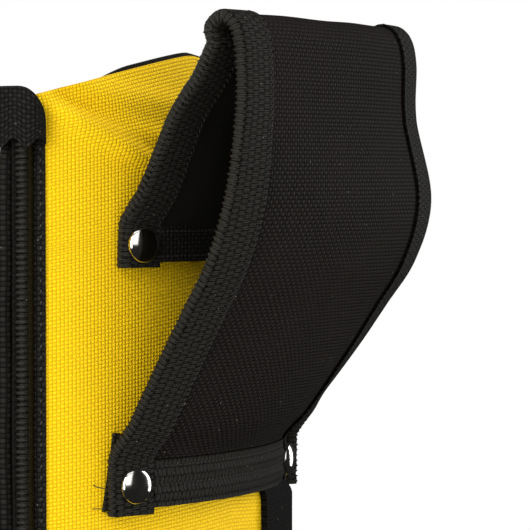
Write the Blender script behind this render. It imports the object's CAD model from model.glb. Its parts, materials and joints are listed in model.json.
import bisect
import json
import math

import bmesh
import bpy
from mathutils import Matrix, Vector, noise


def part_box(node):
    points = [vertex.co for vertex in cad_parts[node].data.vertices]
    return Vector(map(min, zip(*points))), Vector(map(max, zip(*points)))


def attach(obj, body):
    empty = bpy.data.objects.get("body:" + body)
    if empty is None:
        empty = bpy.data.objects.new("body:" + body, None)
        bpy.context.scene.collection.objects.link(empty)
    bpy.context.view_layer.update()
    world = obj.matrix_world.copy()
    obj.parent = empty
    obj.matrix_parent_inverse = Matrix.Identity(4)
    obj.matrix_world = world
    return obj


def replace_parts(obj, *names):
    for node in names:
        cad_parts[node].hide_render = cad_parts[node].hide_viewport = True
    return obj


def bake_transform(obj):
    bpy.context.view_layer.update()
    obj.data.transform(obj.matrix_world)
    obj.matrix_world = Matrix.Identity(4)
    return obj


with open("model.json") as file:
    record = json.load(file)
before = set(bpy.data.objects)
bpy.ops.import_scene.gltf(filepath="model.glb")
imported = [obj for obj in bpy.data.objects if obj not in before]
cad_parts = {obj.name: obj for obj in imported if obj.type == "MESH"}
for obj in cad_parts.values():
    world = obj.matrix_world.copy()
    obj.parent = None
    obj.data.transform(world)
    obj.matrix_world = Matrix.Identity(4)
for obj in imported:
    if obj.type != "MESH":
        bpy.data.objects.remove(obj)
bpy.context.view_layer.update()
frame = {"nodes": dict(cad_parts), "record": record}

# Body wrap, seen from above: a wide back arc that turns into two tighter side arcs.
WRAP_LOW, WRAP_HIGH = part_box("body_wrap")
BACK_Y = WRAP_HIGH[1]
RIM_HEIGHT = WRAP_HIGH[2]
FLOOR_TOP = WRAP_LOW[2]
BACK_RADIUS = 0.095
BACK_ANGLE = math.radians(28.8)
SIDE_RADIUS = 0.0347
SEAM_ANGLE = math.radians(56.4)
BACK_RUN = BACK_RADIUS * BACK_ANGLE
HALF_RUN = BACK_RUN + SIDE_RADIUS * (SEAM_ANGLE - BACK_ANGLE)
SEAM_HEIGHT = 0.2185
FOLD_HEIGHT = 0.206
RIM_LEAN = 0.45
WRAP = 0.0012

# Belt loop: height, how far its right and left edges stand off the back, share of the back's curve.
LOOP_SEAT = 0.0023
LOOP_PROFILE = (
    (0.1140, 0.0000, 0.0000, 1.00),
    (0.1162, 0.0000, 0.0000, 1.00),
    (0.1240, 0.0000, 0.0000, 1.00),
    (0.1284, 0.0003, 0.0004, 1.00),
    (0.1318, 0.0022, 0.0034, 1.00),
    (0.1370, 0.0060, 0.0090, 0.95),
    (0.1520, 0.0140, 0.0215, 0.80),
    (0.1647, 0.0210, 0.0310, 0.70),
    (0.1775, 0.0280, 0.0400, 0.60),
    (0.1930, 0.0332, 0.0442, 0.50),
    (0.2134, 0.0364, 0.0398, 0.40),
    (0.2278, 0.0364, 0.0398, 0.35),
    (0.2346, 0.0349, 0.0384, 0.33),
    (0.2372, 0.0314, 0.0349, 0.33),
    (0.2349, 0.0280, 0.0314, 0.33),
    (0.2298, 0.0260, 0.0290, 0.35),
    (0.2220, 0.0205, 0.0225, 0.40),
    (0.2134, 0.0142, 0.0155, 0.50),
    (0.2030, 0.0090, 0.0098, 0.65),
    (0.1945, 0.0042, 0.0046, 0.88),
    (0.1895, 0.0010, 0.0010, 0.99),
    (0.1860, 0.0003, 0.0003, 1.00),
    (0.1770, 0.0003, 0.0003, 1.00),
    (0.1757, 0.0003, 0.0003, 1.00),
)
# Extra distance of the loop's rear layer from the back, from the profile's fifteenth row on.
REAR_START = 14
REAR_LIFT = (0.0004, 0.0026, 0.0037, 0.0032, 0.0026, 0.0022, 0.0014, 0.0004, 0.0)
LOOP_RUN = 0.0470
BINDING_START = 0.0356
TAPE = 0.00055
TAPE_INNER = (-0.0011, 0.0013)
RIB_PITCH = 0.00145
STITCH_PITCH = 0.00150
STITCH = (0.00125, 0.00045, 0.0004)  # a stitch's length, width and height
COARSE_STITCH = (0.0016, 0.0006, 0.0005)
BINDING_GAP = 0.00025

RIVET_PLACES = ((0.0391, 0.1214), (0.0371, 0.1815))  # distance from the middle, height
RIVET_RADIUS = 0.00455
RIVET_SEAT = 0.0046
TILTED_RIVET = 3  # sits under the turned-up edge of the belt loop, so it leans with it

TO_FRONT = Vector((0.0, -1.0, 0.0))
STRAP_HINGE_Y = -0.0258
SNAP_HEIGHT = 0.1210

# D-ring: middle and direction of its straight bar, half its width, its drop and its wire's radius.
RING_CENTRE = Vector((-0.025937, 0.033181, 0.06))
RING_BAR = Vector((0.965847, 0.259114, 0.0))
RING_HALF = 0.0145
RING_DROP = 0.0190
RING_WIRE = 0.0015

CAMERA_AZIMUTH = math.radians(27.8)
CAMERA_PITCH = math.radians(1.7)
CAMERA_LENS = 195.0
CAMERA_PLACE = (0.6561, 0.3879, 0.1976)
LIGHT_TARGET = Vector((0.0, 0.03, 0.17))
SURROUND = 0.80  # strength of the white surround, and of the same as metal mirrors it
SURROUND_IN_METAL = 0.015
FLOOR_HALF = 0.75
FLOOR_HEIGHT = -0.0002


# Shader helpers -----------------------------------------------------------------------------


class Value:
    """A number worked out by shader nodes, which can be used in ordinary arithmetic."""

    def __init__(self, finish, socket):
        self.finish = finish
        self.socket = socket

    def math(self, operation, *others):
        return self.finish.math(operation, self, *others)

    def __add__(self, other):
        return self.math("ADD", other)

    def __sub__(self, other):
        return self.math("SUBTRACT", other)

    def __mul__(self, other):
        return self.math("MULTIPLY", other)

    def __truediv__(self, other):
        return self.math("DIVIDE", other)

    def __pow__(self, other):
        return self.math("POWER", other)

    def __gt__(self, other):
        return self.math("GREATER_THAN", other)

    def __rsub__(self, other):
        return self.finish.math("SUBTRACT", other, self)


class Finish:
    """A material being built, with one way to make any node."""

    def __init__(self, name, roughness, metallic=0.0, **constants):
        self.material = bpy.data.materials.new(name)
        self.material.use_nodes = True
        self.tree = self.material.node_tree
        self.shader = self.tree.nodes["Principled BSDF"]
        self.set(Roughness=roughness, Metallic=metallic)
        for word, value in constants.items():
            self.shader.inputs[word.replace("_", " ")].default_value = value

    def give(self, socket, value):
        if isinstance(value, Value):
            self.tree.links.new(value.socket, socket)
        elif isinstance(value, bpy.types.NodeSocket):
            self.tree.links.new(value, socket)
        else:
            socket.default_value = value

    def node(self, kind, settings=None, inputs=None):
        made = self.tree.nodes.new(kind)
        for word, value in (settings or {}).items():
            setattr(made, word, value)
        for key, value in (inputs or {}).items():
            self.give(made.inputs[key], value)
        return made

    def math(self, operation, *values):
        made = self.node("ShaderNodeMath", {"operation": operation}, dict(enumerate(values)))
        return Value(self, made.outputs[0])

    def mix(self, share, first, second):
        """A colour between two colours."""
        made = self.node("ShaderNodeMix", {"data_type": "RGBA"}, {0: share, 6: first, 7: second})
        return made.outputs[2]

    def set(self, **values):
        for word, value in values.items():
            self.give(self.shader.inputs[word.replace("_", " ")], value)

    def cloth(self):
        """Distance across and along the cloth, in metres, from the piece's own UV map."""
        place = self.node("ShaderNodeUVMap", {"uv_map": "cloth"}).outputs[0]
        parts = self.node("ShaderNodeSeparateXYZ", inputs={0: place})
        return Value(self, parts.outputs[0]), Value(self, parts.outputs[1])

    def vector(self, x, y, z=0.0):
        return self.node("ShaderNodeCombineXYZ", inputs={0: x, 1: y, 2: z}).outputs[0]

    def mottle(self, place, scale, detail=2.0):
        made = self.node("ShaderNodeTexNoise", inputs={"Vector": place, "Scale": scale, "Detail": detail})
        return Value(self, made.outputs[0])

    def object_place(self):
        return self.node("ShaderNodeTexCoord").outputs["Object"]

    def lint(self, colour, share):
        """Adds pale specks of dust to a colour, in that share of small cells."""
        if share == 0.0:
            return colour
        cells = self.node("ShaderNodeTexVoronoi", inputs={"Vector": self.object_place(), "Scale": 620.0})
        chance = self.node("ShaderNodeSeparateColor", inputs={0: cells.outputs["Color"]})
        near = Value(self, cells.outputs["Distance"]).math("LESS_THAN", 0.11)
        chosen = Value(self, chance.outputs[0]).math("LESS_THAN", share)
        return self.mix(near * chosen * 0.45, colour, (0.26, 0.25, 0.22, 1.0))

    def bump(self, height, distance, strength=1.0):
        sizes = {"Height": height, "Distance": distance, "Strength": strength}
        self.give(self.shader.inputs["Normal"], self.node("ShaderNodeBump", inputs=sizes).outputs[0])


def plain_weave(across, along, pitch_across, pitch_along):
    """Height of a plain weave's threads, and 1 where the lengthwise thread is on top."""
    over = (across * (math.pi / pitch_across)).math("SINE")
    under = (along * (math.pi / pitch_along)).math("SINE")
    lengthwise = (over * under) > 0.0
    over = over.math("ABSOLUTE")
    under = under.math("ABSOLUTE")
    warp = over ** 0.6 * under ** 0.3
    weft = under ** 0.6 * over ** 0.3 * 0.85
    return weft + (warp - weft) * lengthwise, lengthwise


def woven_finish(name, top, gap, pitches, roughness=0.8, sheen=0.15, upright=0.25, lint=0.0):
    """Coarse nylon in plain weave, with uneven threads and slight soiling."""
    finish = Finish(name, roughness, Specular_IOR_Level=sheen)
    across, along = finish.cloth()
    wander = finish.mottle(finish.vector(across * 90.0, along * 90.0), 1.0) - 0.5
    height, lengthwise = plain_weave(across + wander * 0.0002, along + wander * 0.0002, *pitches)
    slub = finish.mottle(finish.vector(across * 900.0, along * 120.0), 1.0)
    shade = height ** 1.4 * (1.0 - upright) + lengthwise * upright * height + slub * 0.3 - 0.05
    colour = finish.mix(shade.math("MINIMUM", 1.0).math("MAXIMUM", 0.0), gap, top)
    soil = finish.mottle(finish.object_place(), 28.0, 4.0)
    darker = tuple(0.86 * c for c in top[:3]) + (1.0,)
    colour = finish.mix((soil - 0.45).math("MAXIMUM", 0.0) * 0.9, colour, darker)
    finish.set(Base_Color=finish.lint(colour, lint))
    finish.set(Roughness=roughness + 0.12 - height * 0.16)
    finish.bump(height + slub * 0.15, 0.00035, 0.9)
    return finish.material


def ribbed_finish(name, top, gap, rib, band, roughness=0.75, slant=0.0, depth=0.00022):
    """Woven tape: ribs across its length in bands side by side, or slanting as in a twill."""
    finish = Finish(name, roughness, Specular_IOR_Level=0.07)
    across, along = finish.cloth()
    wander = finish.mottle(finish.vector(across * 300.0, along * 300.0), 1.0) - 0.5
    lane = (across / band).math("FLOOR")
    shifted = along + lane * (rib * 0.5) + across * slant + wander * 0.0004
    ribs = (shifted * (math.pi / rib)).math("SINE").math("ABSOLUTE") ** 0.6
    fine = (shifted * (2.5 * math.pi / rib)).math("SINE").math("ABSOLUTE") ** 0.8
    lanes = (across * (math.pi / band)).math("SINE").math("ABSOLUTE") ** 0.35
    fibre = finish.mottle(finish.vector(across * 1500.0, along * 1100.0), 1.0)
    height = (ribs * 0.5 + fine * 0.5) * (lanes * 0.55 + 0.45)
    shade = height ** 2.0 * 1.7 + fibre * 1.5 - 0.85
    colour = finish.mix(shade.math("MINIMUM", 1.0).math("MAXIMUM", 0.0), gap, top)
    finish.set(Base_Color=finish.lint(colour, 0.10))
    finish.set(Roughness=roughness + 0.1 - height * 0.18)
    finish.bump(height + fibre * 0.4, depth, 0.9)
    return finish.material


def coated_finish():
    """Smooth black coating with fine creases."""
    finish = Finish("coated_lining", 0.55, Specular_IOR_Level=0.15)
    place = finish.object_place()
    crease = finish.mottle(place, 60.0, 5.0)
    fine = finish.mottle(place, 900.0, 2.0)
    finish.set(Base_Color=finish.mix(crease, (0.0085, 0.0080, 0.0064, 1.0), (0.0130, 0.0122, 0.0100, 1.0)))
    finish.set(Roughness=crease * 0.2 + 0.45)
    finish.bump(crease + fine * 0.08, 0.0006, 0.5)
    return finish.material


def nickel_finish():
    """Polished nickel with faint scratches and a little dulling."""
    finish = Finish("nickel", 0.12, 1.0)
    place = finish.object_place()
    worn = finish.mottle(place, 350.0, 4.0)
    finish.set(Base_Color=finish.mix(worn, (0.70, 0.67, 0.62, 1.0), (0.88, 0.87, 0.84, 1.0)))
    finish.set(Roughness=worn * 0.18 + 0.06)
    finish.bump(worn, 0.00005, 0.3)
    return finish.material


def thread_finish(name, colour):
    """Twisted sewing thread."""
    finish = Finish(name, 0.55, Specular_IOR_Level=0.15)
    place = finish.object_place()
    twist = finish.mottle(place, 2600.0, 1.0)
    dark = tuple(0.45 * c for c in colour[:3]) + (1.0,)
    finish.set(Base_Color=finish.mix(twist, dark, colour), Roughness=twist * 0.25 + 0.42)
    finish.bump(twist, 0.0001, 0.6)
    return finish.material


def board_finish():
    """Dark plastic sheet with a fine grain."""
    finish = Finish("stiff_board", 0.5)
    grain = finish.mottle(finish.object_place(), 1500.0, 3.0)
    finish.set(Base_Color=finish.mix(grain, (0.03, 0.03, 0.03, 1.0), (0.06, 0.06, 0.06, 1.0)))
    finish.set(Roughness=grain * 0.2 + 0.4)
    finish.bump(grain, 0.0001, 0.5)
    return finish.material


WEAVE = (0.00096, 0.00101)
YELLOW = woven_finish("yellow_nylon", (0.93, 0.625, 0.0035, 1.0), (0.70, 0.385, 0.0005, 1.0), WEAVE)
BLACK = woven_finish("black_nylon", (0.0205, 0.0158, 0.0128, 1.0), (0.0002, 0.0002, 0.0002, 1.0), WEAVE, 0.7,
                     sheen=0.06, upright=0.5, lint=0.05)
COARSE = woven_finish("black_coarse_tape", (0.0155, 0.0140, 0.0110, 1.0), (0.0006, 0.0005, 0.0004, 1.0),
                      (0.00105, 0.00125), 0.7, sheen=0.10, upright=0.35, lint=0.08)
FLANGE_CLOTH = woven_finish("yellow_nylon_flange", (0.050, 0.034, 0.006, 1.0), (0.012, 0.008, 0.002, 1.0),
                            WEAVE)
TAPE_FINISH = ribbed_finish("black_tape", (0.0210, 0.0200, 0.0158, 1.0), (0.0001, 0.0001, 0.0001, 1.0),
                            RIB_PITCH, 0.0021)
TWILL = ribbed_finish("black_twill", (0.0140, 0.0125, 0.0095, 1.0), (0.0005, 0.0005, 0.0004, 1.0),
                      0.0016, 0.0011, slant=0.8)
WEBBING = ribbed_finish("black_webbing", (0.0055, 0.0048, 0.0037, 1.0), (0.0004, 0.0004, 0.0003, 1.0),
                        0.0022, 0.0011, depth=0.0003)
COATED = coated_finish()
NICKEL = nickel_finish()
THREAD = thread_finish("black_thread", (0.030, 0.029, 0.026, 1.0))
PALE_THREAD = thread_finish("seam_thread", (0.06, 0.055, 0.045, 1.0))
EDGE_THREAD = thread_finish("tape_edge_thread", (0.026, 0.025, 0.021, 1.0))
BOARD = board_finish()


# Mesh helpers -------------------------------------------------------------------------------


def spread(low, high, steps):
    """Evenly spaced values from low to high, both included."""
    return [low + (high - low) * k / steps for k in range(steps + 1)]


def bell(distance, width):
    """A smooth bump of height 1."""
    return math.exp(-(distance / width) ** 2)


def smooth_step(value, low, high):
    """A smooth rise from 0 at low to 1 at high."""
    share = min(1.0, max(0.0, (value - low) / (high - low)))
    return share * share * (3 - 2 * share)


def running(points):
    """Distance along a row of points, starting at 0."""
    total = [0.0]
    for a, b in zip(points, points[1:]):
        total.append(total[-1] + (b - a).length)
    return total


def face_outwards(mesh):
    """Turns every face of a closed mesh to the outside."""
    shape = bmesh.new()
    shape.from_mesh(mesh)
    bmesh.ops.recalc_face_normals(shape, faces=shape.faces)
    shape.to_mesh(mesh)
    shape.free()


def piece(name, mesh, material, body="pouch", angle=42):
    """A finished object that rides on its body."""
    mesh.shade_smooth()
    mesh.set_sharp_from_angle(angle=math.radians(angle))
    mesh.materials.clear()
    mesh.materials.append(material)
    made = bpy.data.objects.new(name, mesh)
    bpy.context.scene.collection.objects.link(made)
    if body:
        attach(made, body)
    return made


def sheet(name, upper, lower, material, body="pouch"):
    """A closed sheet between two grids of points, with a UV map in metres along the cloth."""
    rows = len(upper)
    columns = len(upper[0])
    points = [p for grid in (upper, lower) for row in grid for p in row]
    across = running([upper[rows // 2][j] for j in range(columns)])
    along = running([upper[i][columns // 2] for i in range(rows)])

    def at(side, i, j):
        return (side * rows + i) * columns + j

    faces = []
    for i in range(rows - 1):
        for j in range(columns - 1):
            corners = ((i, j), (i, j + 1), (i + 1, j + 1), (i + 1, j))
            faces.append([at(0, *c) for c in corners])
            faces.append([at(1, *c) for c in reversed(corners)])
    border = [(0, j) for j in range(columns)]
    border += [(i, columns - 1) for i in range(1, rows)]
    border += [(rows - 1, j) for j in range(columns - 2, -1, -1)]
    border += [(i, 0) for i in range(rows - 2, 0, -1)]
    for k, here in enumerate(border):
        there = border[(k + 1) % len(border)]
        faces.append((at(0, *there), at(0, *here), at(1, *here), at(1, *there)))
    mesh = bpy.data.meshes.new(name)
    mesh.from_pydata([tuple(p) for p in points], [], faces)
    cloth = mesh.uv_layers.new(name="cloth")
    for loop in mesh.loops:
        spot = loop.vertex_index % (rows * columns)
        cloth.data[loop.index].uv = (across[spot % columns], along[spot // columns])
    face_outwards(mesh)
    return piece(name, mesh, material, body)


# The body wrap ------------------------------------------------------------------------------


def wrap_section(run):
    """X, Y and outward direction on the wrap's outer face, that far round from its middle."""
    side = math.copysign(1.0, run)
    if abs(run) <= BACK_RUN:
        turn = abs(run) / BACK_RADIUS
        x = BACK_RADIUS * math.sin(turn)
        y = BACK_Y - BACK_RADIUS * (1 - math.cos(turn))
    else:
        turn = BACK_ANGLE + (abs(run) - BACK_RUN) / SIDE_RADIUS
        inset = BACK_RADIUS - SIDE_RADIUS
        x = inset * math.sin(BACK_ANGLE) + SIDE_RADIUS * math.sin(turn)
        y = BACK_Y - BACK_RADIUS + inset * math.cos(BACK_ANGLE) + SIDE_RADIUS * math.cos(turn)
    return side * x, y, Vector((side * math.sin(turn), math.cos(turn), 0.0))


def fold_height(run):
    """Height above which the wrap leans in, higher towards its seams."""
    return FOLD_HEIGHT + (SEAM_HEIGHT - FOLD_HEIGHT) * (run / HALF_RUN) ** 2


def rim_height(run):
    """Height of the wrap's top edge, lower towards its seams."""
    return RIM_HEIGHT - (RIM_HEIGHT - SEAM_HEIGHT) * (abs(run) / HALF_RUN) ** 1.2


def wrap_point(run, height, out):
    """A point on the wrap's outer face, moved out by that much, with the fabric's soft folds."""
    x, y, normal = wrap_section(run)
    above = height - fold_height(run)
    lean = RIM_LEAN * 0.5 * (above + math.hypot(above, 0.0025))
    share = abs(run) / HALF_RUN
    second = bell(above - 0.0075 - 0.004 * (1 - share), 0.0028)
    hollow = bell(above - 0.0035, 0.0022)
    folds = 0.0010 * second - 0.0006 * hollow + 0.0006 * bell(above + 0.001, 0.0022)
    slanted = height - 0.2170 + 0.47 * (HALF_RUN - abs(run))
    folds += 0.0026 * bell(slanted, 0.0028) - 0.0018 * bell(slanted - 0.0056, 0.0030)
    folds *= min(1.0, (1 - share) * 6.0)
    seam = (1 - share) * HALF_RUN
    pucker = 0.00022 * math.sin(height * 2 * math.pi / 0.0076) * bell(seam, 0.0042)
    billow = 0.0005 * noise.noise(Vector((run * 28.0, height * 17.0, 0.3)))
    return Vector((x, y - lean + swell(run, height), height)) + normal * (out + folds + pucker + billow)


def swell(run, height):
    """How far the cloth bulges out below the left rivet of the belt loop."""
    window = smooth_step(height, 0.1200, 0.1125) * smooth_step(height, 0.082, 0.096)
    return 0.0050 * bell(run + 0.041, 0.028) * window


def wrap_heights(run, low, below_rim, steps):
    return spread(low, rim_height(run) - below_rim, steps)


def make_wrap():
    """Yellow wrap with its rim tape inside the top edge, and the coated lining behind it."""
    half = HALF_RUN - 0.0007
    runs = spread(-half, half, 112)
    grids = [[[wrap_point(r, h, out) for h in wrap_heights(r, FLOOR_TOP, 0.0, 150)] for r in runs]
             for out in (0.0, -WRAP)]
    wrap = sheet("body_wrap_cloth", grids[0], grids[1], YELLOW)
    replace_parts(wrap, "body_wrap")
    half = HALF_RUN - 0.0045
    runs = spread(-half, half, 90)
    rises = (-0.0090, -0.0060, -0.0030, -0.0010, 0.0002, 0.0009)
    grids = []
    for out in (-WRAP - 0.0003, -WRAP - 0.0011):
        grid = []
        for r in runs:
            rim = rim_height(r)
            lower = 0.0018 * smooth_step(abs(r), 0.028, 0.050)
            grid.append([wrap_point(r, rim + up - lower, out) for up in rises])
        grids.append(grid)
    tape = sheet("rim_tape_cloth", grids[0], grids[1], TAPE_FINISH)
    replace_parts(tape, "rim_tape")
    grids = [[[wrap_point(r, h, out) for h in wrap_heights(r, FLOOR_TOP, 0.0020, 60)] for r in runs]
             for out in (-WRAP - 0.0021, -WRAP - 0.0027)]
    lining = sheet("body_lining_cloth", grids[0], grids[1], COATED)
    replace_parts(lining, "body_lining")


# The belt loop ------------------------------------------------------------------------------


def profile_at(place):
    """The loop's profile at that place, counted in rows, on a smooth curve through them."""
    last = len(LOOP_PROFILE) - 1
    k = min(int(place), last - 1)
    t = place - k
    rows = [LOOP_PROFILE[min(max(n, 0), last)] for n in (k - 1, k, k + 1, k + 2)]
    return tuple(
        0.5 * (2 * b + (c - a) * t + (2 * a - 5 * b + 4 * c - d) * t * t + (3 * b - a - 3 * c + d) * t ** 3)
        for a, b, c, d in zip(*rows)
    )


def lift(place):
    """How much further the loop's rear layer stands off the wrap than its pattern does."""
    spot = max(0.0, min(place - REAR_START, len(REAR_LIFT) - 1.0))
    k = min(int(spot), len(REAR_LIFT) - 2)
    a, b = REAR_LIFT[k], REAR_LIFT[k + 1]
    t = spot - k
    return a + (b - a) * t * t * (3 - 2 * t)


def loop_middle(place, run):
    """A point on the loop's middle surface, that far across from its centreline."""
    height, right, left, curve = profile_at(place)
    run *= 1 - 0.065 * smooth_step(place, 15.0, 20.0)
    x, y, _ = wrap_section(run)
    edge_x, edge_y, _ = wrap_section(BACK_RUN)
    share = 0.5 + 0.5 * x / edge_x
    away = left + (right - left) * share
    away += lift(place)
    if place < 8:
        away += 0.0042 * smooth_step(-run, 0.0436, 0.0480) * smooth_step(height, 0.142, 0.128)
    return Vector((x, edge_y + LOOP_SEAT + away + (y - edge_y) * curve, height))


def loop_frame(place, run):
    """A point on the loop's middle surface, its outward direction and its lengthwise direction."""
    last = len(LOOP_PROFILE) - 1
    along = loop_middle(min(place + 0.05, last), run) - loop_middle(max(place - 0.05, 0), run)
    across = loop_middle(place, run + 0.001) - loop_middle(place, run - 0.001)
    return loop_middle(place, run), -across.cross(along).normalized(), along.normalized()


def loop_point(place, run, out):
    """A point off the loop's middle surface by that much."""
    middle, outward, _ = loop_frame(place, run)
    return middle + outward * out


FINE_PLACES = spread(0.0, len(LOOP_PROFILE) - 1, 460)
FINE_LENGTHS = running([loop_middle(place, 0.02) for place in FINE_PLACES])
LOOP_LENGTH = FINE_LENGTHS[-1]


def place_at(length):
    """The place on the loop's profile at that distance along it."""
    k = min(max(bisect.bisect_right(FINE_LENGTHS, length) - 1, 0), len(FINE_LENGTHS) - 2)
    share = (length - FINE_LENGTHS[k]) / (FINE_LENGTHS[k + 1] - FINE_LENGTHS[k])
    return FINE_PLACES[k] + (FINE_PLACES[k + 1] - FINE_PLACES[k]) * share


def loop_layer(name, outs, steps, material, soften):
    """One layer of the loop, between two distances from its middle surface."""
    places = [place_at(s) for s in spread(0.0026, LOOP_LENGTH - 0.0026, steps)]
    runs = spread(-LOOP_RUN, LOOP_RUN, 64)
    grids = [[[loop_point(p, r, out + soften(p, r)) for r in runs] for p in places] for out in outs]
    return sheet(name, grids[0], grids[1], material)


def panel_softness(place, run):
    """Slight waves in the loop's outer cloth, held flat under the bindings."""
    held = max(0.0, 1 - (run / 0.034) ** 2)
    return 0.0005 * held * noise.noise(Vector((run * 45.0, place * 0.35, 1.7)))


def lining_softness(place, run):
    """A soft crease across the lining under the top bend, and slight waves."""
    held = max(0.0, 1 - (run / 0.034) ** 2)
    crease = bell(place - 15.8 - (run - 0.02) * 45.0, 0.35) * max(0.0, run) / 0.034
    return held * (-0.0008 * crease - 0.0003 * abs(noise.noise(Vector((run * 60.0, place * 0.8, 4.1)))))


def fold_profile(start, edge, low, high, tape):
    """Points of a folded tape's inner and outer face across the fold, as (reach, out)."""
    if edge - start > 0.003:
        reach = [start, start + 0.0003, start + 0.0006, start + 0.0009, start + 0.0013]
        reach += spread(start + 0.0018, edge - 0.0008, 4)
        sunk = (0.0, 0.0, 0.00022, 0.00022, 0.0, 0.0, 0.0, 0.0, 0.0, 0.0)
    else:
        reach = spread(start, edge - 0.0008, 3)
        sunk = (0.0,) * 4
    middle = (low + high) / 2
    half = (high - low) / 2
    inner = [(r, high) for r in reach]
    outer = [(r, high + tape - down) for r, down in zip(reach, sunk)]
    for k in range(1, 8):
        angle = math.pi / 2 - math.pi * k / 8
        for side, grown in ((inner, 0.0), (outer, tape)):
            over = edge - 0.0008 + (0.0008 + grown) * math.cos(angle)
            side.append((over, middle + (half + grown) * math.sin(angle)))
    inner += [(r, low) for r in reversed(reach)]
    outer += [(r, low - tape + down) for r, down in reversed(list(zip(reach, sunk)))]
    return inner, outer


def make_loop_binding(word, side):
    """Tape folded round one long edge of the loop, with its edge ribs and stitches."""
    edge = LOOP_RUN + 0.0003
    lines = fold_profile(BINDING_START, edge, *TAPE_INNER, TAPE)
    places = [place_at(s) for s in spread(0.0, LOOP_LENGTH, 300)]
    grids = []
    for line in lines:
        grid = []
        for p in places:
            wave = 0.0003 * noise.noise(Vector((p * 2.3, side * 3.0, 0.0)))
            grid.append([loop_point(p, side * (run + wave), out) for run, out in line])
        grids.append(grid)
    tape = sheet("loop_binding_cloth_" + word, grids[0], grids[1], TAPE_FINISH)
    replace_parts(tape, "loop_binding_" + word)
    edge_spots = []
    stitch_spots = []
    for length in spread(0.0007, LOOP_LENGTH - 0.0007, round(LOOP_LENGTH / RIB_PITCH)):
        place = place_at(length)
        middle, outward, along = loop_frame(place, side * (edge + TAPE * 0.55))
        edge_spots.append((middle, outward, along))
    for length in spread(0.0018, LOOP_LENGTH - 0.0018, round(LOOP_LENGTH / STITCH_PITCH)):
        middle, outward, along = loop_frame(place_at(length), side * (BINDING_START + 0.00075))
        slanted = (along + along.cross(outward) * 0.45).normalized()
        stitch_spots.append((middle + outward * (TAPE_INNER[1] + TAPE - 0.0001), slanted, outward))
        stitch_spots.append((middle + outward * (TAPE_INNER[0] - TAPE + 0.0001), slanted, outward))
    beads("loop_edge_ribs_" + word, edge_spots, (0.0031, 0.00085, 0.00085), EDGE_THREAD)
    beads("loop_stitches_" + word, stitch_spots, STITCH, THREAD)


def ridge(height):
    """Puffed rows of the lower tape between its lines of stitches."""
    return 0.0005 * (0.5 + 0.5 * math.cos(2 * math.pi * (height - 0.1234) / 0.0047)) - 0.0001


def loop_seat(run, height, out, seat):
    """A point above the wrap where the loop's ends are sewn down."""
    x, y, normal = wrap_section(run)
    return Vector((x, y + seat, height)) + normal * out


def make_seam_tapes():
    """Tape folded over each side edge of the wrap, which stands out beside the bound seams."""
    edge = HALF_RUN - 0.0003
    lines = fold_profile(edge - 0.0023, edge, -WRAP - 0.0002, 0.0002, 0.00045)
    heights = spread(FLOOR_TOP, SEAM_HEIGHT - 0.0045, 170)
    for word, side in (("right", 1), ("left", -1)):
        grids = [[[wrap_point(side * run, h, out) for run, out in line] for h in heights] for line in lines]
        sheet("seam_tape_" + word, grids[0], grids[1], COARSE)
        stitches = []
        for height in spread(FLOOR_TOP + 0.003, SEAM_HEIGHT - 0.008, 76):
            run = side * (edge - 0.0011)
            slanted = Vector((0.0, 0.35, 1.0)).normalized()
            stitches.append((wrap_point(run, height, 0.0007), slanted, wrap_section(run)[2]))
        beads("seam_tape_stitches_" + word, stitches, (0.0010, 0.0005, 0.0004), PALE_THREAD)
        outward = Vector((side * 0.8, 0.5, 0.1)).normalized()
        upright = Vector((side * 0.5, -0.8, 0.0)).normalized()
        threads = [(wrap_point(side * (edge + 0.0002), h, -0.0006), outward, upright)
                   for h in spread(FLOOR_TOP + 0.001, SEAM_HEIGHT - 0.0055, 145)]
        beads("seam_tape_edge_" + word, threads, (0.0018, 0.0009, 0.0006), EDGE_THREAD,
              unevenness=0.2)


def corner_path():
    """Plan of the tape over a side's top corner, from its front end round to its back end."""
    spots = [(0.0626, -0.0020), (0.0640, 0.0006), (0.0646, 0.0050), (0.0643, 0.0090), (0.0628, 0.0116),
             (0.0594, 0.0128)]
    points = [Vector(p) for p in spots]
    for _ in range(2):
        finer = [points[0]]
        for a, b in zip(points, points[1:]):
            finer += [a * 0.75 + b * 0.25, a * 0.25 + b * 0.75]
        points = finer + [points[-1]]
    return points


def make_corner_caps():
    """Folded end of the seam tapes over each side's top corner, where all the seams meet."""
    path = corner_path()
    lengths = running(path)
    whole = lengths[-1]
    for word, side in (("right", 1), ("left", -1)):
        grids = []
        for thick in (0.0, 0.0008):
            grid = []
            for k, point in enumerate(path):
                ahead = path[min(k + 1, len(path) - 1)] - path[max(k - 1, 0)]
                inward = Vector((ahead.y, -ahead.x)).normalized()
                if inward.x > 0:
                    inward = -inward
                near_back = min(1.0, (whole - lengths[k]) / 0.0085)
                top = 0.2128 + 0.0078 * math.sqrt(1 - (1 - near_back) ** 2)
                low = 0.2066 + 0.0012 * math.sin(lengths[k] * 900.0)
                row = []
                for h in spread(low, top - 0.0012, 14):
                    out = 0.0003 * noise.noise(Vector((lengths[k] * 260.0, h * 260.0, side * 2.0)))
                    row.append((point - inward * out + inward * thick, h))
                for turn in spread(0.0, math.pi / 2, 5)[1:]:
                    reach = 0.0012 * (1 - math.cos(turn)) + thick * math.cos(turn)
                    rise = (0.0012 - thick) * math.sin(turn)
                    row.append((point + inward * reach, top - 0.0012 + rise))
                row.append((point + inward * 0.0035, top - thick - 0.0002))
                row.append((point + inward * 0.0060, top - thick - 0.0016))
                grid.append([Vector((side * spot.x, spot.y, h)) for spot, h in row])
            grids.append(grid)
        sheet("seam_corner_" + word, grids[0], grids[1], COARSE)


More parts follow.
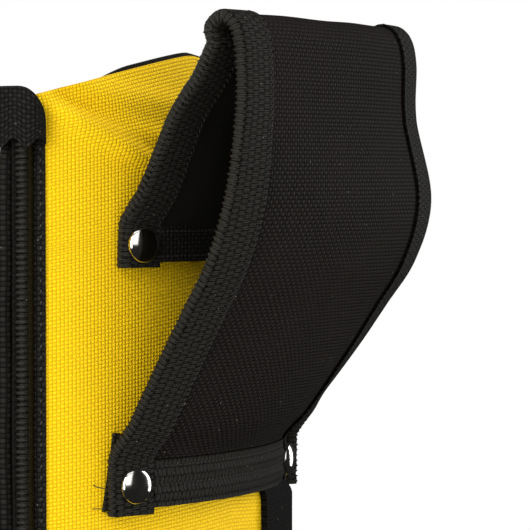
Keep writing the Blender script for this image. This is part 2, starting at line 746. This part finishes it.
def make_side_gussets():
    """Twill sides of the flat compartment, folded out between the two bound seams."""
    plan = [Vector((0.0608, 0.0037)), Vector((0.0617, 0.0041)), Vector((0.0621, 0.0047)),
            Vector((0.0617, 0.0053)), Vector((0.0608, 0.0057))]
    for word, side in (("right", 1), ("left", -1)):
        grids = []
        for inset in (0.0, 0.0006):
            grid = []
            for h in spread(FLOOR_TOP, 0.2090, 80):
                bulge = [0.0004 * noise.noise(Vector((h * 60.0, p.y * 90.0, side))) for p in plan]
                grid.append([Vector((side * (p.x - inset + out), p.y, h)) for p, out in zip(plan, bulge)])
            grids.append(grid)
        made = sheet("compartment_side_" + word, grids[0], grids[1], TWILL)
        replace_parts(made, "compartment_gusset_" + word)


def make_back_webbing():
    """Webbing down the back, which thins out where it is tucked under the belt loop's lower end."""
    web_low, web_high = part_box("back_webbing")
    top = web_high[2]

    def web_point(run, height, thick):
        spot = wrap_point(run, height, 0.0003 + thick * smooth_step(height, top + 0.0062, top + 0.0048))
        return spot + Vector((0.0, 0.0002 if thick else 0.0, 0.0))

    runs = spread(-0.0377, -0.0155, 20)
    heights = spread(web_low[2], top + 0.0052, 90)
    grids = [[[web_point(r, h, thick) for r in runs] for h in heights] for thick in (0.0, 0.0014)]
    made = sheet("back_webbing_cloth", grids[0], grids[1], WEBBING)
    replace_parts(made, "back_webbing")


def make_strap_ends():
    """Doubled-back end of each edge binding, flat on the wrap behind the loop's lower end."""
    for word, side in (("right", 1), ("left", -1)):
        grids = []
        for out in (0.0002, 0.0012):
            grids.append([[wrap_point(side * r, h + 0.0004 * math.sin(r * 900.0), out)
                           for r in spread(0.0370, 0.0474 - 0.17 * (h - 0.1155), 14)]
                          for h in spread(0.1155, 0.1342, 24)])
        sheet("loop_binding_end_" + word, grids[0], grids[1], TAPE_FINISH)
    loose = []
    for run, height, rise in ((0.0482, 0.1212, 0.00012), (0.0484, 0.1160, -0.00006)):
        place = wrap_point(run, height, 0.0022)
        way = Vector((0.00033, -0.00062, 0.00008))
        for _ in range(4):
            loose.append((place.copy(), way.normalized(), Vector((0.883, 0.469, 0.0))))
            place += way
            way.z += rise
    beads("loose_threads", loose, (0.0010, 0.0003, 0.0003), THREAD)


LOOP_END_RUNS = spread(-0.0352, 0.0352, 60)


def make_loop():
    """The belt loop's outer cloth, coated lining and edge bindings."""
    panel = loop_layer("loop_panel_cloth", (0.00015, 0.00105), 200, BLACK, panel_softness)
    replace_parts(panel, "loop_panel")
    lining = loop_layer("loop_lining_cloth", (-0.00085, -0.00015), 140, COATED,
                        lining_softness)
    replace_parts(lining, "loop_lining")
    for word, side in (("right", 1), ("left", -1)):
        make_loop_binding(word, side)


def make_lower_tape():
    """Puffed tape folded round the loop's lower end, between the two edge bindings."""
    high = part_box("loop_lower_tape")[1][2]
    low = 0.1159
    heights = spread(high, low - 0.0003, 30)
    front = [(h, TAPE_INNER[1] + TAPE + ridge(h)) for h in heights]
    lines = [[(h, TAPE_INNER[1]) for h in heights], front]
    under = [(low - 0.0004, 0.0), (low, TAPE_INNER[0]), (low + 0.004, TAPE_INNER[0])]
    lines[0] += [(low - 0.0001, 0.0), (low, TAPE_INNER[0] + 0.0001), (low + 0.004, TAPE_INNER[0] + 0.0001)]
    lines[1] += [(h - (0.0003 if h <= low else 0.0), out - TAPE * 0.8) for h, out in under]
    grids = [[[loop_seat(r, h, out, LOOP_SEAT) for h, out in line] for r in LOOP_END_RUNS] for line in lines]
    tape = sheet("loop_lower_tape_cloth", grids[0], grids[1], TAPE_FINISH)
    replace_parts(tape, "loop_lower_tape")


def make_upper_webbing():
    """Webbing over the loop's upper end, and the stitches that hold both ends down."""
    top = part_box("loop_upper_webbing")[1][2]
    seat = LOOP_SEAT + LOOP_PROFILE[-1][1]
    heights = spread(0.1770, top, 10)
    grids = [[[loop_seat(r, h, out, seat) for h in heights] for r in LOOP_END_RUNS]
             for out in (0.00115, 0.00185)]
    web = sheet("loop_upper_webbing_cloth", grids[0], grids[1], COARSE)
    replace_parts(web, "loop_upper_webbing")
    rows = []
    for height, out, seat_out in ((0.1211, 0.00178, LOOP_SEAT), (0.1257, 0.00178, LOOP_SEAT),
                                  (0.1784, 0.00185, seat), (0.1846, 0.00185, seat)):
        for run in spread(-0.0340, 0.0340, 45):
            normal = wrap_section(run)[2]
            sideways = Vector((normal.y, -normal.x, 0.0))
            rows.append((loop_seat(run, height, out, seat_out), sideways, normal))
    beads("loop_end_stitches", rows, STITCH, THREAD)


# Rows of small repeated shapes --------------------------------------------------------------


def bead_tree():
    """Sets a rounded bead on every point, turned along two directions stored on the points."""
    tree = bpy.data.node_groups.new("rows_of_beads", "GeometryNodeTree")
    face = tree.interface
    face.new_socket("Points", in_out="INPUT", socket_type="NodeSocketGeometry")
    for word in ("Length", "Width", "Height"):
        face.new_socket(word, in_out="INPUT", socket_type="NodeSocketFloat")
    face.new_socket("Unevenness", in_out="INPUT", socket_type="NodeSocketFloat")
    face.new_socket("Seed", in_out="INPUT", socket_type="NodeSocketInt")
    face.new_socket("Finish", in_out="INPUT", socket_type="NodeSocketMaterial")
    face.new_socket("Beads", in_out="OUTPUT", socket_type="NodeSocketGeometry")

    def add(kind, settings=None, inputs=None):
        made = tree.nodes.new(kind)
        for word, value in (settings or {}).items():
            setattr(made, word, value)
        for key, value in (inputs or {}).items():
            if isinstance(value, bpy.types.NodeSocket):
                tree.links.new(value, made.inputs[key])
            else:
                made.inputs[key].default_value = value
        return made

    given = add("NodeGroupInput").outputs
    ball = add("GeometryNodeMeshUVSphere", None, {"Segments": 8, "Rings": 6, "Radius": 0.5})
    size = add("ShaderNodeCombineXYZ", None, {0: given["Length"], 1: given["Width"], 2: given["Height"]})
    directions = []
    for word in ("lengthwise", "upright"):
        stored = add("GeometryNodeInputNamedAttribute", {"data_type": "FLOAT_VECTOR"}, {"Name": word})
        directions.append(stored.outputs[0])
    turn = add("FunctionNodeAxesToRotation", {"primary_axis": "X", "secondary_axis": "Z"},
               {0: directions[0], 1: directions[1]})
    less = add("ShaderNodeMath", {"operation": "SUBTRACT"}, {0: 1.0, 1: given["Unevenness"]})
    more = add("ShaderNodeMath", {"operation": "ADD"}, {0: 1.0, 1: given["Unevenness"]})
    chance = add("FunctionNodeRandomValue", {"data_type": "FLOAT"},
                 {2: less.outputs[0], 3: more.outputs[0], 8: given["Seed"]})
    scaled = add("ShaderNodeVectorMath", {"operation": "SCALE"}, {0: size.outputs[0], 3: chance.outputs[1]})
    set_on = add("GeometryNodeInstanceOnPoints", None, {
        "Points": given["Points"], "Instance": ball.outputs["Mesh"],
        "Rotation": turn.outputs[0], "Scale": scaled.outputs[0],
    })
    real = add("GeometryNodeRealizeInstances", None, {0: set_on.outputs[0]})
    painted = add("GeometryNodeSetMaterial", None, {"Geometry": real.outputs[0], "Material": given["Finish"]})
    add("NodeGroupOutput", None, {0: painted.outputs[0]})
    return tree


BEADS = bead_tree()


def beads(name, spots, size, material, body="pouch", unevenness=0.08):
    """One mesh of beads. Each spot is (place, direction of the bead's length, its upright)."""
    points = bpy.data.meshes.new(name + "_points")
    points.from_pydata([tuple(spot[0]) for spot in spots], [], [])
    for word, index in (("lengthwise", 1), ("upright", 2)):
        stored = points.attributes.new(word, "FLOAT_VECTOR", "POINT")
        for k, spot in enumerate(spots):
            stored.data[k].vector = spot[index]
    holder = bpy.data.objects.new(name + "_points", points)
    bpy.context.scene.collection.objects.link(holder)
    modifier = holder.modifiers.new("beads", "NODES")
    modifier.node_group = BEADS
    sockets = {item.name: item.identifier for item in BEADS.interface.items_tree if item.in_out == "INPUT"}
    for word, value in zip(("Length", "Width", "Height"), size):
        modifier[sockets[word]] = value
    modifier[sockets["Unevenness"]] = unevenness
    modifier[sockets["Seed"]] = len(name)
    modifier[sockets["Finish"]] = material
    graph = bpy.context.evaluated_depsgraph_get()
    mesh = bpy.data.meshes.new_from_object(holder.evaluated_get(graph), depsgraph=graph)
    mesh.name = name
    for word in ("lengthwise", "upright"):
        if word in mesh.attributes:
            mesh.attributes.remove(mesh.attributes[word])
    holder.modifiers.remove(modifier)
    bpy.data.objects.remove(holder)
    return piece(name, mesh, material, body, angle=80)


# Metal pieces -------------------------------------------------------------------------------


def turned(name, profile, place, material, body="pouch", segments=48):
    """The profile of (radius, height) points turned round the place's own Z axis."""
    points = []
    rings = []
    faces = []
    for radius, height in profile:
        count = segments if radius > 0 else 1
        rings.append([len(points) + k for k in range(count)])
        for k in range(count):
            angle = 2 * math.pi * k / segments
            points.append(place @ Vector((radius * math.cos(angle), radius * math.sin(angle), height)))
    pairs = list(zip(rings, rings[1:]))
    if profile[0][0] > 0:
        pairs.append((rings[-1], rings[0]))
    for a, b in pairs:
        for k in range(segments):
            nxt = (k + 1) % segments
            if len(a) == 1:
                faces.append((a[0], b[nxt], b[k]))
            elif len(b) == 1:
                faces.append((a[k], a[nxt], b[0]))
            else:
                faces.append((a[k], a[nxt], b[nxt], b[k]))
    mesh = bpy.data.meshes.new(name)
    mesh.from_pydata([tuple(p) for p in points], [], faces)
    face_outwards(mesh)
    return piece(name, mesh, material, body, angle=50)


def facing(place, normal):
    """Placement with its Z axis along that normal."""
    return Matrix.Translation(place) @ normal.to_track_quat("Z", "Y").to_matrix().to_4x4()


def make_rivets():
    """Polished domes with their shanks through the loop's ends and the wrap."""
    number = 0
    inside = -WRAP - 0.0033
    for side in (1, -1):
        for middle_x, height in RIVET_PLACES:
            number += 1
            x, y, normal = wrap_section(side * BACK_RADIUS * math.asin(middle_x / BACK_RADIUS))
            if number == TILTED_RIVET:
                x *= 0.965
                y += 0.0008
                normal = Vector((normal.x * 0.55, normal.y, 0.0)).normalized()
            dome = [(0.0, inside), (0.0015, inside), (0.0015, RIVET_SEAT - 0.0002)]
            dome += [(0.0040, RIVET_SEAT - 0.0002), (RIVET_RADIUS, RIVET_SEAT)]
            for k in range(13):
                angle = math.pi / 2 * k / 12
                radius = RIVET_RADIUS * (math.cos(angle) if k < 12 else 0.0)
                dome.append((radius, RIVET_SEAT + 0.0004 + 0.0018 * math.sin(angle) ** 1.1))
            place = facing(Vector((x, y, height)), normal)
            cap = turned(f"rivet_dome_{number}", dome, place, NICKEL)
            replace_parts(cap, f"rivet_cap_{number}")


# Bound panels and walls ---------------------------------------------------------------------


def no_bow(x, z):
    """A panel that stays flat."""
    return Vector()


_, FRONT_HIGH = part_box("front_panel")
FRONT_FLAT = (FRONT_HIGH[1] - 0.0010, FRONT_HIGH[1])
SEAM_X = FRONT_HIGH[0]
MIDDLE_LOW, MIDDLE_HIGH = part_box("middle_panel")
ORGANISER_LOW, ORGANISER_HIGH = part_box("organiser_front")


def front_bow(x, z):
    """How far the front panel bows out, leans out above the organiser and sags at its top edge."""
    share = min(1.0, abs(x) / 0.056)
    middle = 1 - min(1.0, abs(x) / SEAM_X) ** 6
    lean = smooth_step(z, 0.199, FRONT_HIGH[2]) * middle
    sag = smooth_step(z, 0.170, FRONT_HIGH[2]) * middle
    return Vector((0.0, -0.0080 * (1 - share * share) ** 2 - 0.0085 * lean, -0.0030 * sag))


def outline(half_width, bottom, top, corner, pitch):
    """Spots along a panel's edge, from its lower right corner over the top to its lower left."""
    path = [Vector((half_width, bottom))]
    normals = [Vector((1.0, 0.0))]
    rise = top - corner - bottom
    quarter = corner * math.pi / 2
    crossing = 2 * (half_width - corner)
    total = 2 * rise + 2 * quarter + crossing
    for s in spread(0.0, total, round(total / pitch))[1:]:
        if s < rise:
            point, normal = Vector((half_width, bottom + s)), Vector((1.0, 0.0))
        elif s < rise + quarter:
            angle = (s - rise) / corner
            normal = Vector((math.cos(angle), math.sin(angle)))
            point = Vector((half_width - corner, top - corner)) + normal * corner
        elif s < rise + quarter + crossing:
            normal = Vector((0.0, 1.0))
            point = Vector((half_width - corner - (s - rise - quarter), top))
        elif s < rise + 2 * quarter + crossing:
            angle = math.pi / 2 + (s - rise - quarter - crossing) / corner
            normal = Vector((math.cos(angle), math.sin(angle)))
            point = Vector((corner - half_width, top - corner)) + normal * corner
        else:
            normal = Vector((-1.0, 0.0))
            point = Vector((-half_width, top - corner - (s - rise - 2 * quarter - crossing)))
        path.append(point)
        normals.append(normal)
    return list(zip(path, normals))


def make_binding(name, node, half_width, ys, top, corner, bow, tape, width, waver, finish=TAPE_FINISH):
    """Tape folded round a bound panel's sides and top, with its edge ribs and stitches."""
    front = Vector((0.0, 1.0, 0.0))

    def spot_at(point, normal, reach, y, firm=0.0):
        """A point of the binding, with the tape's own slight waver."""
        sway = waver * noise.noise(Vector((point.x * 30.0, point.y * 42.0, half_width * 100.0)))
        spot = point + normal * (reach + sway * (0.4 - firm))
        return Vector((spot.x, y + sway, spot.y)) + bow(spot.x, spot.y)

    lines = fold_profile(-width, BINDING_GAP, ys[0] - BINDING_GAP, ys[1] + BINDING_GAP, tape)
    spots = outline(half_width, FLOOR_TOP, top, corner, 0.0012)
    grids = [[[spot_at(point, normal, reach, y) for reach, y in line] for point, normal in spots]
             for line in lines]
    made = sheet(name, grids[0], grids[1], finish)
    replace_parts(made, node)
    if finish is TAPE_FINISH:
        ribs = []
        for point, normal in outline(half_width, FLOOR_TOP + 0.0005, top, corner, RIB_PITCH):
            rib = spot_at(point, normal, BINDING_GAP + tape * 0.5, (ys[0] + ys[1]) / 2)
            ribs.append((rib, front, Vector((normal.x, 0.0, normal.y))))
        length = max(ys[1] - ys[0] + 2 * BINDING_GAP + 2 * tape, 0.0030)
        beads(name + "_ribs", ribs, (length, 0.0010, 0.0011), EDGE_THREAD, unevenness=0.12)
    if width > 0.003:
        stitches = []
        for point, normal in outline(half_width, FLOOR_TOP + 0.001, top, corner, STITCH_PITCH):
            along = Vector((-normal.y, 0.0, normal.x))
            for y in (ys[0] - BINDING_GAP - tape, ys[1] + BINDING_GAP + tape):
                stitches.append((spot_at(point, normal, 0.00075 - width, y, firm=0.4), along, front))
        beads(name + "_stitches", stitches, STITCH, THREAD)


def make_panel(name, node, half_width, ys, top, corner, bow, material):
    """A flat panel with round top corners, shaped by its bow."""
    xs = spread(-half_width, half_width, 60)
    grids = []
    for y in ys:
        grid = []
        for x in xs:
            into = max(0.0, abs(x) - (half_width - corner))
            edge = top - corner + math.sqrt(max(0.0, corner * corner - into * into))
            grid.append([Vector((x, y, z)) + bow(x, z) for z in spread(FLOOR_TOP, edge, 60)])
        grids.append(grid)
    made = sheet(name, grids[0], grids[1], material)
    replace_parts(made, node)


def make_panels():
    """Middle, front and organiser panels, each with its folded binding."""
    middle_y = (MIDDLE_LOW[1], MIDDLE_HIGH[1])
    organiser_y = (ORGANISER_LOW[1], ORGANISER_HIGH[1])
    make_panel("middle_panel_cloth", "middle_panel", SEAM_X, middle_y, MIDDLE_HIGH[2], 0.010, no_bow,
               FLANGE_CLOTH)
    make_binding("middle_binding_cloth", "middle_panel_binding", SEAM_X, middle_y, MIDDLE_HIGH[2], 0.010,
                 no_bow, 0.00055, 0.0012, 0.0002)
    make_panel("front_panel_cloth", "front_panel", SEAM_X, FRONT_FLAT, FRONT_HIGH[2], 0.022, front_bow,
               TWILL)
    make_binding("front_binding_cloth", "front_panel_binding", SEAM_X, FRONT_FLAT, FRONT_HIGH[2], 0.022,
                 front_bow, 0.00085, 0.0042, 0.0007, COARSE)
    make_panel("organiser_front_cloth", "organiser_front", ORGANISER_HIGH[0], organiser_y, ORGANISER_HIGH[2],
               0.012, no_bow, BLACK)
    make_binding("organiser_binding_cloth", "organiser_binding", ORGANISER_HIGH[0], organiser_y,
                 ORGANISER_HIGH[2], 0.012, no_bow, 0.00055, 0.0060, 0.0002)


# Pockets, loops and the tape strap ----------------------------------------------------------


def soft_copy(node, name, material, step=0.0035, amount=0.0004):
    """A finer copy of a sewn piece, with the slight waves of cloth."""
    source = frame["nodes"][node]
    shape = bmesh.new()
    shape.from_mesh(source.data)
    shape.transform(source.matrix_world)
    for _ in range(6):
        long_edges = [e for e in shape.edges if e.calc_length() > step]
        if not long_edges:
            break
        bmesh.ops.subdivide_edges(shape, edges=long_edges, cuts=1)
        bmesh.ops.triangulate(shape, faces=shape.faces)
    for vertex in shape.verts:
        at = vertex.co * 38.0
        sideways = noise.noise(at + Vector((7.1, 0, 0)))
        vertex.co += amount * Vector((noise.noise(at), sideways, 0.3 * noise.noise(-at)))
    bmesh.ops.recalc_face_normals(shape, faces=shape.faces)
    cloth = shape.loops.layers.uv.new("cloth")
    for face in shape.faces:
        sides = [abs(c) for c in face.normal]
        axes = {0: (1, 2), 1: (0, 2), 2: (0, 1)}[sides.index(max(sides))]
        for corner in face.loops:
            corner[cloth].uv = (corner.vert.co[axes[0]], corner.vert.co[axes[1]])
    mesh = bpy.data.meshes.new(name)
    shape.to_mesh(mesh)
    shape.free()
    made = piece(name, mesh, material, angle=35)
    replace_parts(made, node)


def stitch_row(start, end, pitch=0.0022):
    """Stitches in a straight line on the pouch's front, each as (place, direction, upright)."""
    start, end = Vector(start), Vector(end)
    along = (end - start).normalized()
    count = round((end - start).length / pitch)
    return [(start.lerp(end, k / count), along, TO_FRONT) for k in range(count + 1)]


def make_organiser():
    """Gussets, plier pockets, tool loops, base and keeper, with their rows of stitches."""
    rows = []
    for word, side in (("right", 1), ("left", -1)):
        soft_copy("organiser_gusset_" + word, "organiser_side_" + word, BLACK, amount=0.0010)
        soft_copy("plier_pocket_" + word, "plier_pocket_cloth_" + word, BLACK, amount=0.0009)
        soft_copy("plier_pocket_binding_" + word, "plier_pocket_tape_" + word, TAPE_FINISH,
                  0.002)
        soft_copy("plier_pocket_floor_" + word, "plier_pocket_base_" + word, BLACK)
        soft_copy("tool_loops_" + word, "tool_loop_tape_" + word, WEBBING, 0.002, 0.0005)
        for x in (0.0140, 0.0493):
            rows += stitch_row((side * x, -0.0240, 0.007), (side * x, -0.0240, 0.100))
        for x in (0.0138, 0.0318, 0.0498):
            for shift in (-0.0006, 0.0006):
                at = side * x + shift
                rows += stitch_row((at, -0.0242, 0.1335), (at, -0.0242, 0.1645))
    beads("organiser_stitches", rows, COARSE_STITCH, THREAD)
    soft_copy("base_panel", "base_cloth", BLACK, 0.006, 0.0003)
    soft_copy("ring_keeper", "ring_keeper_webbing", WEBBING, 0.002, 0.0002)


def make_tape_strap():
    """Webbing strap sewn to the organiser at its top, which hinges below its stitches."""
    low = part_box("tape_strap")[0][2]
    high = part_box("tape_strap_anchor")[1][2]
    heights = spread(low, high, 110)
    grids = []
    for thick in (0.0006, -0.0006):
        grid = []
        for h in heights:
            y = STRAP_HINGE_Y + 0.0022 * smooth_step(h, 0.1835, 0.1880) + thick
            row = []
            for x in spread(-0.0100, 0.0100, 20):
                wave = 0.0002 * noise.noise(Vector((x * 90.0, h * 70.0, 5.0)))
                row.append(Vector((x, y + wave, h)))
            grid.append(row)
        grids.append(grid)
    strap = sheet("tape_strap_webbing", grids[0], grids[1], WEBBING, body=None)
    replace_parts(strap, "tape_strap", "tape_strap_anchor")
    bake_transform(strap)
    rows = []
    for height in (0.1920, 0.1890):
        rows += stitch_row((-0.0085, -0.0244, height), (0.0085, -0.0244, height))
    beads("tape_strap_stitches", rows, COARSE_STITCH, THREAD)


def make_snap():
    """Stud on the organiser, with the socket and domed cap on the strap's loose end."""
    place = facing(Vector((0.0, 0.0, SNAP_HEIGHT)), TO_FRONT)
    base = -ORGANISER_LOW[1] + 0.0003
    stud = [(0.0, 0.0), (0.0050, 0.0), (0.0050, 0.0005), (0.0046, 0.0007), (0.0019, 0.0007)]
    stud += [(0.0017, 0.0009), (0.0017, 0.0013), (0.0010, 0.0016), (0.0, 0.0016)]
    stud = [(radius, base + height) for radius, height in stud]
    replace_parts(turned("snap_stud_fine", stud, place, NICKEL), "snap_stud")
    back, face = 0.0252, 0.0264
    socket = [(0.0023, -0.0010), (0.0026, -0.0011), (0.0047, -0.0011), (0.0050, -0.0009)]
    socket += [(0.0050, -0.0003), (0.0023, -0.0003)]
    socket = [(radius, back + height) for radius, height in socket]
    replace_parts(turned("snap_socket_fine", socket, place, NICKEL, "strap"), "snap_socket")
    cap = [(0.0, back - 0.0002), (0.0012, back - 0.0002), (0.0012, face + 0.0003), (0.0060, face + 0.0003)]
    for turn in spread(0.0, math.pi / 2, 12)[:-1]:
        cap.append((0.0062 * math.cos(turn), face + 0.0006 + 0.0019 * math.sin(turn)))
    cap.append((0.0, face + 0.0025))
    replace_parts(turned("snap_cap_fine", cap, place, NICKEL, "strap"), "snap_cap")


def make_ring():
    """Half-round wire ring that hangs from its keeper."""
    line = [(x, 0.0) for x in spread(-RING_HALF + 0.0012, RING_HALF - 0.0012, 12)]
    line += [(RING_HALF * math.cos(t), -RING_DROP * math.sin(t)) for t in spread(0.10, math.pi - 0.10, 60)]
    line = [RING_CENTRE + RING_BAR * x + Vector((0.0, 0.0, z)) for x, z in line]
    count = len(line)
    sides = 16
    out = RING_BAR.cross(Vector((0.0, 0.0, 1.0)))
    points = []
    for k, spot in enumerate(line):
        along = (line[(k + 1) % count] - line[k - 1]).normalized()
        side = along.cross(out).normalized()
        for turn in spread(0.0, 2 * math.pi, sides)[:-1]:
            points.append(spot + (side * math.cos(turn) + out * math.sin(turn)) * RING_WIRE)
    faces = []
    for k in range(count):
        a, b = k * sides, (k + 1) % count * sides
        for j in range(sides):
            nxt = (j + 1) % sides
            faces.append((a + j, a + nxt, b + nxt, b + j))
    mesh = bpy.data.meshes.new("d_ring_wire")
    mesh.from_pydata([tuple(p) for p in points], [], faces)
    face_outwards(mesh)
    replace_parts(piece("d_ring_wire", mesh, NICKEL, "ring"), "d_ring")


# Camera, light and floor --------------------------------------------------------------------


def area_light(name, place, size, power):
    """A soft box that faces the pouch."""
    lamp = bpy.data.lights.new(name, "AREA")
    lamp.shape = "RECTANGLE"
    lamp.size, lamp.size_y = size
    lamp.energy = power
    holder = bpy.data.objects.new(name, lamp)
    holder.location = place
    holder.rotation_euler = (Vector(place) - LIGHT_TARGET).to_track_quat("Z", "Y").to_euler()
    bpy.context.scene.collection.objects.link(holder)
    return holder


def make_camera():
    camera = bpy.data.cameras.new("camera")
    camera.lens = CAMERA_LENS
    camera.sensor_width = 36.0
    camera.clip_end = 100.0
    holder = bpy.data.objects.new("camera", camera)
    holder.location = CAMERA_PLACE
    holder.rotation_euler = (math.pi / 2 - CAMERA_PITCH, 0.0, CAMERA_AZIMUTH + math.pi / 2)
    bpy.context.scene.collection.objects.link(holder)
    bpy.context.scene.camera = holder


def make_lights():
    """Soft boxes round the pouch, and a white surround that the metal hardly mirrors."""
    area_light("key_light", (1.08, 0.06, 0.45), (0.65, 1.3), 10.6)
    area_light("fill_light", (-1.00, 0.72, 0.35), (0.4, 1.2), 9.0)
    card = area_light("bright_card", (0.80, 0.85, 0.75), (0.9, 1.3), 5.0)
    card.visible_diffuse = False  # it is there to be mirrored in the rivets
    area_light("top_light", (0.1, 0.1, 1.2), (0.9, 0.9), 4.0)
    area_light("front_light", (-0.45, -1.10, 0.55), (0.8, 0.8), 7.0)
    world = bpy.data.worlds.new("studio")
    bpy.context.scene.world = world
    world.use_nodes = True
    tree = world.node_tree
    paths = tree.nodes.new("ShaderNodeLightPath")
    share = tree.nodes.new("ShaderNodeMapRange")
    tree.links.new(paths.outputs["Is Camera Ray"], share.inputs["Value"])
    share.inputs["To Min"].default_value = SURROUND
    share.inputs["To Max"].default_value = 1.0
    shiny = tree.nodes.new("ShaderNodeMath")
    shiny.operation = "MULTIPLY_ADD"
    tree.links.new(paths.outputs["Is Glossy Ray"], shiny.inputs[0])
    shiny.inputs[1].default_value = SURROUND_IN_METAL - SURROUND
    tree.links.new(share.outputs[0], shiny.inputs[2])
    background = tree.nodes["Background"]
    background.inputs["Color"].default_value = (1.0, 1.0, 1.0, 1.0)
    tree.links.new(shiny.outputs[0], background.inputs["Strength"])


def make_floor():
    floor_mesh = bpy.data.meshes.new("floor")
    signs = ((-1, -1), (1, -1), (1, 1), (-1, 1))
    corners = [(x * FLOOR_HALF, y * FLOOR_HALF, FLOOR_HEIGHT) for x, y in signs]
    floor_mesh.from_pydata(corners, [], [(0, 1, 2, 3)])
    floor = bpy.data.objects.new("floor", floor_mesh)
    bpy.context.scene.collection.objects.link(floor)
    pale = Finish("pale_floor", 0.9, Emission_Color=(1.0, 1.0, 1.0, 1.0), Emission_Strength=0.15)
    pale.set(Base_Color=(0.85, 0.85, 0.85, 1.0))
    floor_mesh.materials.append(pale.material)
    floor.visible_glossy = False


def paint_nodes():
    """Finishes for the CAD pieces that stay as they are."""
    finishes = {"yellow_nylon": YELLOW, "black_nylon": BLACK, "black_tape": TAPE_FINISH,
                "coated_lining": COATED, "stiff_board": BOARD, "nickel": NICKEL}
    slots = {entry["node"]: entry["material_slot"] for entry in frame["record"]["subparts"]}
    for name, node in frame["nodes"].items():
        if not node.material_slots:
            node.data.materials.append(None)
        for place in node.material_slots:
            place.material = finishes[slots[name]]


make_camera()
make_lights()
make_floor()
bpy.context.scene.view_settings.view_transform = "Standard"
make_wrap()
make_seam_tapes()
make_corner_caps()
make_side_gussets()
make_back_webbing()
make_loop()
make_lower_tape()
make_upper_webbing()
make_rivets()
make_panels()
make_organiser()
make_tape_strap()
make_snap()
make_ring()
make_strap_ends()
paint_nodes()
